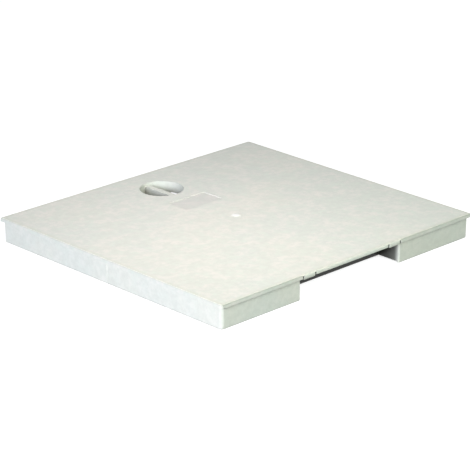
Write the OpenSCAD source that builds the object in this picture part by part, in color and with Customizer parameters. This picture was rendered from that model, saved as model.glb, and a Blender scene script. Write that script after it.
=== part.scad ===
// Drain inspection cover, moulded in one piece from white plastic.
// It stands on the foot of its skirt, and the origin is the middle of that foot. X runs along the
// long side, Z is up, and the recess in the skirt faces -Y. The lift hole is near the +Y edge.

/* [Top plate and lip] */
// Length over the lip, along X
plate_l = 325; // [240:1:420]
// Width over the lip, along Y
plate_w = 299; // [240:1:420]
// Height of the top face above the foot
height = 24; // [20:0.5:36]
// Thickness of the top plate, whose edge is the lip
top_t = 3.4; // [2.8:0.1:4]
// How far the lip stands out past the skirt
lip_out = 2.4; // [2:0.1:6]
// Radius along the lip's upper edge
edge_r = 2; // [0.5:0.1:2.2]
// Radius of the lip's corners, seen from above
lip_corner = 2.6; // [2.4:0.1:6]

/* [Skirt] */
// Thickness of the skirt where it meets the lip
skirt_t = 2.6; // [2.2:0.1:4]
// How much of that thickness the draft takes away at the foot
skirt_draft = 0.4; // [0.1:0.1:0.7]
// Bevel along the outside of the foot
foot_bevel = 0.5; // [0.2:0.1:0.7]
// Radius inside the skirt's corners
skirt_corner = 1; // [0.5:0.1:3]
// Width of the upright groove in each short side
groove_w = 2.4; // [1:0.1:4]
// Depth of the upright groove
groove_d = 1.2; // [0.3:0.1:1.2]

/* [Recess in the skirt] */
// Clear width of the recess, along X
recess_w = 128; // [116:1:160]
// Depth of the recess, in from the outside of the skirt
recess_d = 25; // [15:1:40]
// How far the recess walls end above the foot
recess_lift = 1.2; // [0.5:0.1:4]
// Bevel up the two outer edges of the recess
recess_bevel = 1.4; // [0.4:0.1:2]
// Width of the slits in the lip's underside
slit_w = 2; // [1:0.1:4]
// Height of the slits
slit_h = 2.4; // [1:0.1:2.4]
// Distance along X between the slits of the inner pair
slit_span = 93; // [30:1:100]
// How far the tab between two slits hangs below the top plate
tab_drop = 1; // [0.4:0.1:2]
// How far the tabs are set back from the lip's edge
tab_back = 0.4; // [0.2:0.1:1]

/* [Lift hole] */
// Diameter of the lift hole
hole_d = 42; // [36:1:56]
// Distance from the hole's middle to the lip's +Y edge
hole_in = 46; // [40:1:80]
// Bevel round the hole's upper edge
hole_bevel = 0.5; // [0.2:0.1:1]
// Thickness of the collar round the hole
collar_t = 2.4; // [1.6:0.1:4]
// How far the collar reaches below the top face
collar_h = 10.6; // [10:0.1:12]
// Width of the finger bar across the hole
bar_w = 6; // [5:0.5:10]
// Height of the finger bar
bar_h = 7; // [4:0.5:8]
// How far the bar's top lies below the top face
bar_drop = 2.6; // [1:0.1:5]

/* [Label panel and gate mark] */
// Length of the sunk label panel, along X
panel_l = 46; // [20:1:90]
// Width of the panel, along Y
panel_w = 26; // [10:1:30]
// Depth of the panel
panel_depth = 0.6; // [0.2:0.1:1]
// Distance from the panel's middle to the lip's +Y edge
panel_in = 94; // [90:0.5:110]
// Diameter of the low dome over the gate mark
gate_d = 10.5; // [6:0.5:16]
// Height of the dome
gate_h = 0.8; // [0.3:0.1:1.2]

/* [Ribs] */
// Thickness of a rib at its root
rib_t = 2.2; // [1.6:0.1:3]
// How much the draft takes off a rib's thickness at its tip
rib_draft = 0.5; // [0.1:0.1:0.8]
// How far the ribs hang below the top plate
rib_h = 9; // [5:0.5:12]
// Largest distance between the middles of two ribs
rib_pitch = 33; // [24:1:40]
// Diameter of the boss under the gate mark
boss_d = 14; // [8:1:20]

/* [Hidden] */
$fn = 96;

rim_w = skirt_t + lip_out;
in_x = plate_l / 2 - rim_w;
in_y = plate_w / 2 - rim_w;
skirt_y = plate_w / 2 - lip_out;
under_z = height - top_t;
rib_z = under_z - rib_h;
weld = 0.8;
eps = 1;

wall_x = recess_w / 2 + skirt_t / 2;
back_y = -skirt_y + recess_d + skirt_t / 2;
hole_y = plate_w / 2 - hole_in;
panel_y = plate_w / 2 - panel_in;
hole_r = hole_d / 2;
bar_top = height - bar_drop;
slit_x = recess_w / 2 - slit_w;

// Evenly spaced rib lines between the walls at a and b
function between(a, b) = let (cells = ceil((b - a) / rib_pitch))
    [for (i = [1:1:cells - 1]) a + (b - a) * i / cells];

x_lines = [each between(-in_x, -wall_x), -wall_x, each between(-wall_x, 0), 0,
    each between(0, wall_x), wall_x, each between(wall_x, in_x)];
y_lines = [back_y, each between(back_y, 0), 0, each between(0, in_y)];

// Section through the lip, with x outward from where its corners turn
module lip_section() {
    round_x = lip_corner - edge_r;
    round_y = height - edge_r;
    translate([0, under_z]) square([lip_corner, top_t - edge_r]);
    translate([0, round_y]) square([round_x, edge_r]);
    translate([round_x, round_y]) intersection() {
        circle(edge_r);
        square(edge_r);
    }
}

// Section through the drafted skirt, with x outward from where its corners turn
module skirt_section() {
    top_x = skirt_corner + skirt_t;
    foot_x = top_x - skirt_draft;
    polygon([[skirt_corner, 0], [foot_x - foot_bevel, 0], [foot_x, foot_bevel], [top_x, under_z],
        [skirt_corner, under_z]]);
}

// One straight side with the given section, which faces -Y before it is turned
module side(len) {
    rotate([90, 0, -90]) translate([0, 0, -len / 2]) linear_extrude(len) children();
}

// Carries a section round a rectangle whose corners turn about the points (x, y)
module around(x, y) {
    for (end = [0, 180]) {
        rotate(end) translate([0, -y]) side(2 * x) children();
        rotate(end + 90) translate([0, -x]) side(2 * y) children();
    }
    for (sx = [-1, 1], sy = [-1, 1]) {
        turn = sx > 0 ? (sy > 0 ? 0 : 270) : (sy > 0 ? 90 : 180);
        translate([sx * x, sy * y]) rotate(turn) rotate_extrude(angle = 90) children();
    }
}

module top_plate() {
    x = plate_l / 2 - lip_corner;
    y = plate_w / 2 - lip_corner;
    around(x, y) lip_section();
    translate([-x, -y, under_z]) cube([2 * x, 2 * y, top_t]);
}

module skirt() {
    around(in_x - skirt_corner, in_y - skirt_corner) skirt_section();
}

// One drafted rib from the origin along +X, hanging from the top plate
module rib(len) {
    root = rib_t / 2;
    tip = root - rib_draft / 2;
    rotate([90, 0, 90]) linear_extrude(len)
        polygon([[-tip, rib_z], [tip, rib_z], [root, under_z + weld], [-root, under_z + weld]]);
}

module ribs() {
    for (x = x_lines) {
        start = abs(x) < wall_x ? back_y : -in_y - weld;
        translate([x, start]) rotate(90) rib(in_y + weld - start);
    }
    for (y = y_lines) translate([-in_x - weld, y]) rib(2 * (in_x + weld));
}

// The skirt goes round the recess: two side walls and a back wall, each as high as the skirt
module recess_walls() {
    tall = under_z + weld - recess_lift;
    for (side = [-1, 1])
        translate([side * wall_x - skirt_t / 2, -in_y - weld, recess_lift])
            cube([skirt_t, back_y + skirt_t / 2 + in_y + weld, tall]);
    translate([-wall_x, back_y - skirt_t / 2, recess_lift]) cube([2 * wall_x, skirt_t, tall]);
}

module collar() {
    translate([0, hole_y, height - collar_h])
        cylinder(r = hole_r + collar_t, h = collar_h - top_t + weld);
}

module gate_boss() {
    translate([0, 0, rib_z]) cylinder(d = boss_d, h = rib_h + weld);
}

// The low dome is the top of a ball
module gate_dome() {
    half = gate_d / 2;
    ball_r = (half * half + gate_h * gate_h) / (2 * gate_h);
    translate([0, 0, height + gate_h - ball_r]) intersection() {
        sphere(ball_r);
        translate([0, 0, ball_r - gate_h - weld]) cylinder(d = 2 * gate_d, h = gate_h + weld + eps);
    }
}

// The hole, bevelled at its upper edge
module hole_cut() {
    translate([0, hole_y]) rotate_extrude() polygon([
        [0, -eps], [hole_r, -eps], [hole_r, height - hole_bevel],
        [hole_r + hole_bevel, height], [hole_r + hole_bevel, height + eps], [0, height + eps]
    ]);
}

// The opening in the skirt, which flares at its outer edges
module recess_cut() {
    near = recess_w / 2;
    far = near + recess_bevel + eps;
    translate([0, -skirt_y, -eps]) linear_extrude(under_z + eps)
        polygon([[-near, skirt_t], [-near, recess_bevel], [-far, -eps], [far, -eps],
            [near, recess_bevel], [near, skirt_t]]);
}

// Two slits beside each tab
module slit_cut() {
    for (x = [-recess_w / 2, -slit_span / 2 - slit_w, slit_span / 2, slit_x])
        translate([x, -plate_w / 2 - eps, under_z - eps])
            cube([slit_w, rim_w + 2 * eps, slit_h + eps]);
}

module tabs() {
    len = slit_x - slit_span / 2 - slit_w;
    for (x = [-slit_x, slit_span / 2 + slit_w])
        translate([x, -plate_w / 2 + tab_back, under_z - tab_drop])
            cube([len, lip_out, tab_drop + weld]);
}

module label_panel_cut() {
    translate([-panel_l / 2, panel_y - panel_w / 2, height - panel_depth])
        cube([panel_l, panel_w, panel_depth + eps]);
}

// An upright V groove in the middle of each short side
module groove_cut() {
    for (end = [0, 180])
        rotate(end) translate([in_x + skirt_t, 0, foot_bevel])
            linear_extrude(under_z - foot_bevel)
                polygon([[-groove_d, 0], [0, -groove_w / 2], [eps, -groove_w / 2],
                    [eps, groove_w / 2], [0, groove_w / 2]]);
}

// The bar that the fingers or a hook take hold of
module finger_bar() {
    reach = hole_r + collar_t / 2;
    translate([-bar_w / 2, hole_y - reach, bar_top - bar_h]) cube([bar_w, 2 * reach, bar_h]);
}

module cover() {
    color([0.9, 0.91, 0.87]) union() {
        difference() {
            union() {
                top_plate();
                skirt();
                ribs();
                recess_walls();
                collar();
                gate_boss();
                gate_dome();
            }
            hole_cut();
            recess_cut();
            slit_cut();
            label_panel_cut();
            groove_cut();
        }
        finger_bar();
        tabs();
    }
}

cover();
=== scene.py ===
"""Looks of the drain inspection cover: camera, floor, light and the moulded plastic's finish."""
import math

import bpy
from mathutils import Matrix, Vector


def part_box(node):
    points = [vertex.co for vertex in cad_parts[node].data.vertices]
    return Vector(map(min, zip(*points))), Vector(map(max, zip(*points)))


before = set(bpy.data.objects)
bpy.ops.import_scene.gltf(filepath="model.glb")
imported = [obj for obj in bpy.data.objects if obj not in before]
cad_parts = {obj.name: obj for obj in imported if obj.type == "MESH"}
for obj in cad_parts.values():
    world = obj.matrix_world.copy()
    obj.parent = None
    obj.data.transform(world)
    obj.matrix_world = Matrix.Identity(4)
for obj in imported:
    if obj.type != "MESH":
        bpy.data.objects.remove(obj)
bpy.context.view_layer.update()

# The view, fitted to the plate's outline in the photograph
PHOTO_PX = 470
AZIMUTH = -44.104
ELEVATION = 20.27
DISTANCE = 2.102
FOCAL_PX = 2250.8
SHIFT_PX = (1.28, -20.6)
SENSOR_MM = 36.0

# The floor's size in metres, and its shades of grey: to light rays, and to the camera in the light
# and by itself in full shadow
FLOOR_SIZE = 12.0
FLOOR_GREY = 0.1
FLOOR_SHADE = 0.3
FLOOR_GLOW = 0.95

# The light from all round, and the lamps: place, size in metres, power in watts and colour
WORLD_LIGHT = (0.187, (0.745, 0.865, 1.0))
LAMPS = {
    "left": ((-1.3, -0.5, 0.35), 0.7, 21.3, (0.885, 0.92, 0.99)),
    "front": ((0.0, -0.85, 0.56), 0.8, 4.65, (0.87, 0.99, 0.77)),
    "crown": ((-0.075, -0.05, 0.325), 0.28, 0.62, (1.0, 0.88, 0.85)),
    "back": ((1.0, 1.1, 0.014), 0.02, 8.0, (0.92, 0.97, 1.0)),
}

# Only this lamp shows in the plastic's gloss; the low ones would blaze in it from the far sides
SHEEN_LAMP = "crown"

# The plastic's shades: two that drift over the whole part, and two of its fine mottling
PLASTIC_WARM = (0.80, 0.80, 0.73, 1)
PLASTIC_COOL = (0.76, 0.785, 0.74, 1)
MOTTLE_ROSE = (0.84, 0.79, 0.745, 1)
MOTTLE_GREEN = (0.745, 0.785, 0.71, 1)
MOTTLE_DARK = (0.60, 0.60, 0.55, 1)
# The grey of the painted shade laid into corners and hollows
PAINTED_SHADE_GREY = (0.20, 0.20, 0.18, 1)

# The sunk label panel's floor, which is a little greyer: its middle and half sizes in metres
PANEL_GREY = (0.60, 0.55, 0.57, 1)
PANEL_MIDDLE = (0.0, 0.0555)
PANEL_HALF = (0.023, 0.013)

# The top's outer edge, painted a darker cream as shade on its rounding, and the stretch of the lip
# over the recess that rolls over softly
RIM_SHADE_CREAM = (0.60, 0.60, 0.50, 1)
EDGE_HALF = (0.1585, 0.1455)
EASY_MIDDLE = (0.0, -0.1495)
EASY_HALF = (0.0635, 0.004)

# The recess, whose walls are painted near-black as shade, the more so at its back
RECESS_PAINTED_SHADE = (0.015, 0.016, 0.012, 1)
RECESS_MIDDLE = (0.0, -0.1308)
RECESS_HALF = (0.067, 0.013)

# A painted highlight round the gate mark, where the plastic is painted whiter
GATE_HIGHLIGHT_WHITE = (0.87, 0.87, 0.85, 1)
GATE_RADIUS = 0.0055


def add_camera():
    """The photograph's camera, aimed at the middle of the top face."""
    low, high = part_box("cover")
    target = Vector((0, 0, high.z))
    az, el = math.radians(AZIMUTH), math.radians(ELEVATION)
    back = Vector((math.sin(az) * math.cos(el), -math.cos(az) * math.cos(el), math.sin(el)))
    right = Vector((math.cos(az), math.sin(az), 0))
    up = back.cross(right)
    data = bpy.data.cameras.new("photo_camera")
    data.sensor_width = SENSOR_MM
    data.lens = FOCAL_PX / PHOTO_PX * SENSOR_MM
    data.shift_x = -SHIFT_PX[0] / PHOTO_PX
    data.shift_y = SHIFT_PX[1] / PHOTO_PX
    camera = bpy.data.objects.new("photo_camera", data)
    turn = Matrix((right, up, back)).transposed().to_4x4()
    camera.matrix_world = Matrix.Translation(target + back * DISTANCE) @ turn
    bpy.context.scene.collection.objects.link(camera)
    bpy.context.scene.camera = camera


def node_of(tree, kind, **settings):
    """A shader node with its attributes and, where a name is an input's, that input's value."""
    node = tree.nodes.new(kind)
    for name, value in settings.items():
        if name in node.inputs:
            node.inputs[name].default_value = value
        else:
            setattr(node, name, value)
    return node


def new_material(name):
    material = bpy.data.materials.new(name)
    material.use_nodes = True
    tree = material.node_tree
    tree.nodes.clear()
    return material, tree


def texture(tree, kind, place, **settings):
    """A procedural texture laid out in metres on the part itself."""
    node = node_of(tree, kind, **settings)
    tree.links.new(place, node.inputs["Vector"])
    return node


def remap(tree, value, low, high, to_low, to_high):
    """The value, carried from one range to another and held between its ends."""
    node = node_of(tree, "ShaderNodeMapRange", interpolation_type="SMOOTHSTEP")
    tree.links.new(value, node.inputs["Value"])
    for name, number in zip(("From Min", "From Max", "To Min", "To Max"), (low, high, to_low, to_high)):
        node.inputs[name].default_value = number
    return node.outputs["Result"]


def blend(tree, factor, first, second, mode="MIX"):
    """Mixes two colours, each a socket or a plain colour."""
    node = node_of(tree, "ShaderNodeMix", data_type="RGBA", blend_type=mode)
    for index, source in ((0, factor), (6, first), (7, second)):
        if isinstance(source, bpy.types.NodeSocket):
            tree.links.new(source, node.inputs[index])
        else:
            node.inputs[index].default_value = source
    return node.outputs[2]


def maths(tree, operation, first, second):
    node = node_of(tree, "ShaderNodeMath", operation=operation)
    for index, source in enumerate((first, second)):
        if isinstance(source, bpy.types.NodeSocket):
            tree.links.new(source, node.inputs[index])
        else:
            node.inputs[index].default_value = source
    return node.outputs["Value"]


def soft_box(tree, parts, middle, half, edge):
    """1 inside an upright box seen from above, and 0 outside, with a soft edge."""
    inside = 1.0
    for axis, centre, reach in zip("XY", middle, half):
        away = maths(tree, "ABSOLUTE", maths(tree, "SUBTRACT", parts.outputs[axis], centre), 0.0)
        inside = maths(tree, "MULTIPLY", remap(tree, away, reach - edge, reach + edge, 1.0, 0.0), inside)
    return inside


def round_spot(tree, parts, radius):
    """1 round the middle, seen from above, and 0 beyond the radius."""
    across = [maths(tree, "MULTIPLY", parts.outputs[axis], parts.outputs[axis]) for axis in "XY"]
    away = maths(tree, "SQRT", maths(tree, "ADD", *across), 0.0)
    return remap(tree, away, radius * 0.5, radius, 1.0, 0.0)


def crisp_edges(tree, normal, ease):
    """Turns a rounded edge's normals towards the upright face, so that it looks tighter but where
    ease is 1."""
    parts = tree.nodes.new("ShaderNodeSeparateXYZ")
    tree.links.new(normal, parts.inputs["Vector"])
    keep = remap(tree, maths(tree, "ABSOLUTE", parts.outputs["Z"], 0.0), 0.75, 1.0, 0.0, 1.0)
    keep = maths(tree, "MAXIMUM", keep, maths(tree, "MULTIPLY", ease, 0.9))
    joined = tree.nodes.new("ShaderNodeCombineXYZ")
    for axis in "XY":
        tree.links.new(parts.outputs[axis], joined.inputs[axis])
    tree.links.new(maths(tree, "MULTIPLY", parts.outputs["Z"], keep), joined.inputs["Z"])
    unit = node_of(tree, "ShaderNodeVectorMath", operation="NORMALIZE")
    tree.links.new(joined.outputs["Vector"], unit.inputs[0])
    return unit.outputs["Vector"]


def moulded_plastic():
    """Off-white moulded plastic: satin, finely grained, softly mottled, with painted shade in corners
    and hollows.
    """
    material, tree = new_material("moulded_plastic")
    out = tree.nodes.new("ShaderNodeOutputMaterial")
    shader = node_of(tree, "ShaderNodeBsdfPrincipled", IOR=1.49)
    place = tree.nodes.new("ShaderNodeTexCoord").outputs["Object"]

    broad = texture(tree, "ShaderNodeTexNoise", place, Scale=11.0, Detail=3.0, Roughness=0.6)
    cloudy = texture(tree, "ShaderNodeTexNoise", place, Scale=75.0, Detail=3.0, Roughness=0.6)
    mottle = texture(tree, "ShaderNodeTexNoise", place, Scale=190.0, Detail=4.0, Roughness=0.6)
    grain = texture(tree, "ShaderNodeTexNoise", place, Scale=1700.0, Detail=2.0)
    near = node_of(tree, "ShaderNodeAmbientOcclusion", Distance=0.004, samples=8)
    deep = node_of(tree, "ShaderNodeAmbientOcclusion", Distance=0.03, samples=8)
    parts = tree.nodes.new("ShaderNodeSeparateXYZ")
    tree.links.new(place, parts.inputs["Vector"])
    on_top = remap(tree, parts.outputs["Z"], 0.0208, 0.0215, 0.0, 1.0)
    below = remap(tree, parts.outputs["Z"], 0.0208, 0.0215, 1.0, 0.0)
    panel = maths(tree, "MULTIPLY", soft_box(tree, parts, PANEL_MIDDLE, PANEL_HALF, 0.003), on_top)
    # Painted shade on the rounded top edge, all round but away from the flat top
    rim_shade = maths(tree, "MULTIPLY", remap(tree, parts.outputs["Z"], 0.0225, 0.0238, 0.0, 1.0), maths(
        tree, "SUBTRACT", 1.0, soft_box(tree, parts, (0.0, 0.0), EDGE_HALF, 0.0025)))
    over_recess = soft_box(tree, parts, EASY_MIDDLE, EASY_HALF, 0.001)
    gate_highlight = maths(tree, "MULTIPLY", round_spot(tree, parts, GATE_RADIUS), on_top)
    # Painted shade: the recess's walls below the top are made near-black, darker towards the back
    recess_shade = maths(tree, "MULTIPLY", soft_box(tree, parts, RECESS_MIDDLE, RECESS_HALF, 0.003), below)
    recess_shade = maths(tree, "MULTIPLY", remap(tree, parts.outputs["Y"], -0.146, -0.127, 0.8, 1.0), recess_shade)

    colour = blend(tree, remap(tree, broad.outputs["Fac"], 0.38, 0.62, 0.0, 1.0), PLASTIC_WARM,
                   PLASTIC_COOL)
    tint = blend(tree, remap(tree, cloudy.outputs["Fac"], 0.42, 0.58, 0.0, 1.0), MOTTLE_ROSE,
                 MOTTLE_GREEN)
    tinted = maths(tree, "MULTIPLY", remap(tree, mottle.outputs["Fac"], 0.35, 0.65, 0.15, 0.6),
                   remap(tree, parts.outputs["Z"], 0.0208, 0.0215, 0.4, 1.0))
    colour = blend(tree, tinted, colour, tint)
    colour = blend(tree, remap(tree, mottle.outputs["Fac"], 0.3, 0.7, 0.38, 0.0), colour, MOTTLE_DARK)
    colour = blend(tree, remap(tree, cloudy.outputs["Fac"], 0.35, 0.65, 0.0, 0.12), colour, MOTTLE_DARK)
    # Painted shade: the rounded top edge is darkened towards a cream grey
    colour = blend(tree, maths(tree, "MULTIPLY", rim_shade, 0.35), colour, RIM_SHADE_CREAM)
    colour = blend(tree, maths(tree, "MULTIPLY", panel, 0.26), colour, PANEL_GREY)
    # Painted shade in corners and hollows, from occlusion close by and farther in
    colour = blend(tree, remap(tree, near.outputs["AO"], 0.3, 0.8, 0.06, 0.0), colour, PAINTED_SHADE_GREY)
    colour = blend(tree, remap(tree, deep.outputs["AO"], 0.1, 0.42, 0.8, 0.0), colour, PAINTED_SHADE_GREY)
    colour = blend(tree, recess_shade, colour, RECESS_PAINTED_SHADE)
    # Painted highlight: the plastic round the gate mark is made whiter
    colour = blend(tree, gate_highlight, colour, GATE_HIGHLIGHT_WHITE)
    tree.links.new(colour, shader.inputs["Base Color"])

    gloss = remap(tree, mottle.outputs["Fac"], 0.3, 0.7, 0.32, 0.44)
    gloss = maths(tree, "ADD", gloss, remap(tree, broad.outputs["Fac"], 0.3, 0.7, -0.04, 0.04))
    gloss = maths(tree, "ADD", gloss, maths(tree, "MULTIPLY", panel, 0.12))
    tree.links.new(gloss, shader.inputs["Roughness"])

    soft_edges = node_of(tree, "ShaderNodeBevel", Radius=0.0004, samples=6)
    sink = node_of(tree, "ShaderNodeBump", Strength=0.3, Distance=0.0008)
    tree.links.new(broad.outputs["Fac"], sink.inputs["Height"])
    tree.links.new(crisp_edges(tree, soft_edges.outputs["Normal"], over_recess), sink.inputs["Normal"])
    skin = node_of(tree, "ShaderNodeBump", Strength=0.35, Distance=0.00006)
    tree.links.new(grain.outputs["Fac"], skin.inputs["Height"])
    tree.links.new(sink.outputs["Normal"], skin.inputs["Normal"])
    tree.links.new(skin.outputs["Normal"], shader.inputs["Normal"])
    tree.links.new(shader.outputs["BSDF"], out.inputs["Surface"])
    return material


def add_floor():
    """A pale floor, white to the camera, with a soft shadow that is deep only under the cover."""
    half = FLOOR_SIZE / 2
    mesh = bpy.data.meshes.new("floor")
    mesh.from_pydata([(-half, -half, 0), (half, -half, 0), (half, half, 0), (-half, half, 0)], [],
                     [(0, 1, 2, 3)])
    floor = bpy.data.objects.new("floor", mesh)
    bpy.context.scene.collection.objects.link(floor)
    material, tree = new_material("pale_floor")
    out = tree.nodes.new("ShaderNodeOutputMaterial")
    plain = node_of(tree, "ShaderNodeBsdfDiffuse", Color=(FLOOR_GREY, FLOOR_GREY, FLOOR_GREY, 1))
    shaded = node_of(tree, "ShaderNodeBsdfDiffuse", Color=(FLOOR_SHADE, FLOOR_SHADE, FLOOR_SHADE, 1))
    glow = tree.nodes.new("ShaderNodeEmission")
    # The glow dims where the floor is hemmed in: a painted shadow, deepest under the cover
    open_sky = node_of(tree, "ShaderNodeAmbientOcclusion", Distance=0.02, samples=12)
    tree.links.new(remap(tree, open_sky.outputs["AO"], 0.02, 0.3, 0.0, FLOOR_GLOW),
                   glow.inputs["Strength"])
    seen = tree.nodes.new("ShaderNodeAddShader")
    mix = tree.nodes.new("ShaderNodeMixShader")
    tree.links.new(shaded.outputs["BSDF"], seen.inputs[0])
    tree.links.new(glow.outputs["Emission"], seen.inputs[1])
    tree.links.new(seen_by_viewer(tree), mix.inputs["Fac"])
    tree.links.new(plain.outputs["BSDF"], mix.inputs[1])
    tree.links.new(seen.outputs["Shader"], mix.inputs[2])
    tree.links.new(mix.outputs["Shader"], out.inputs["Surface"])
    mesh.materials.append(material)


def seen_by_viewer(tree):
    """1 for rays from the camera, off a gloss or through glass, and 0 for rays that light things."""
    path = tree.nodes.new("ShaderNodeLightPath")
    total = path.outputs["Is Camera Ray"]
    for name in ("Is Glossy Ray", "Is Transmission Ray"):
        either = node_of(tree, "ShaderNodeMath", operation="MAXIMUM")
        tree.links.new(total, either.inputs[0])
        tree.links.new(path.outputs[name], either.inputs[1])
        total = either.outputs["Value"]
    return total


def add_lamp(name, place, size, power, colour):
    """A round lamp that looks at the cover's middle."""
    data = bpy.data.lights.new(name, "AREA")
    data.shape = "DISK"
    data.size = size
    data.energy = power
    data.color = colour
    lamp = bpy.data.objects.new(name, data)
    lamp.location = place
    lamp.rotation_euler = (-Vector(place)).to_track_quat("-Z", "Y").to_euler()
    lamp.visible_glossy = name == SHEEN_LAMP
    bpy.context.scene.collection.objects.link(lamp)


def add_light():
    for name, (place, size, power, colour) in LAMPS.items():
        add_lamp(name, place, size, power, colour)
    world = bpy.data.worlds.new("studio")
    world.use_nodes = True
    tree = world.node_tree
    tree.nodes.clear()
    out = tree.nodes.new("ShaderNodeOutputWorld")
    strength, tint = WORLD_LIGHT
    light = node_of(tree, "ShaderNodeBackground", Color=(*tint, 1), Strength=strength)
    white = node_of(tree, "ShaderNodeBackground", Color=(1, 1, 1, 1), Strength=1.0)
    mix = tree.nodes.new("ShaderNodeMixShader")
    tree.links.new(seen_by_viewer(tree), mix.inputs["Fac"])
    tree.links.new(light.outputs["Background"], mix.inputs[1])
    tree.links.new(white.outputs["Background"], mix.inputs[2])
    tree.links.new(mix.outputs["Shader"], out.inputs["Surface"])
    bpy.context.scene.world = world


bpy.context.scene.view_settings.view_transform = "Standard"
add_camera()
add_floor()
add_light()
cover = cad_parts["cover"]
cover.data.materials.clear()
cover.data.materials.append(moulded_plastic())
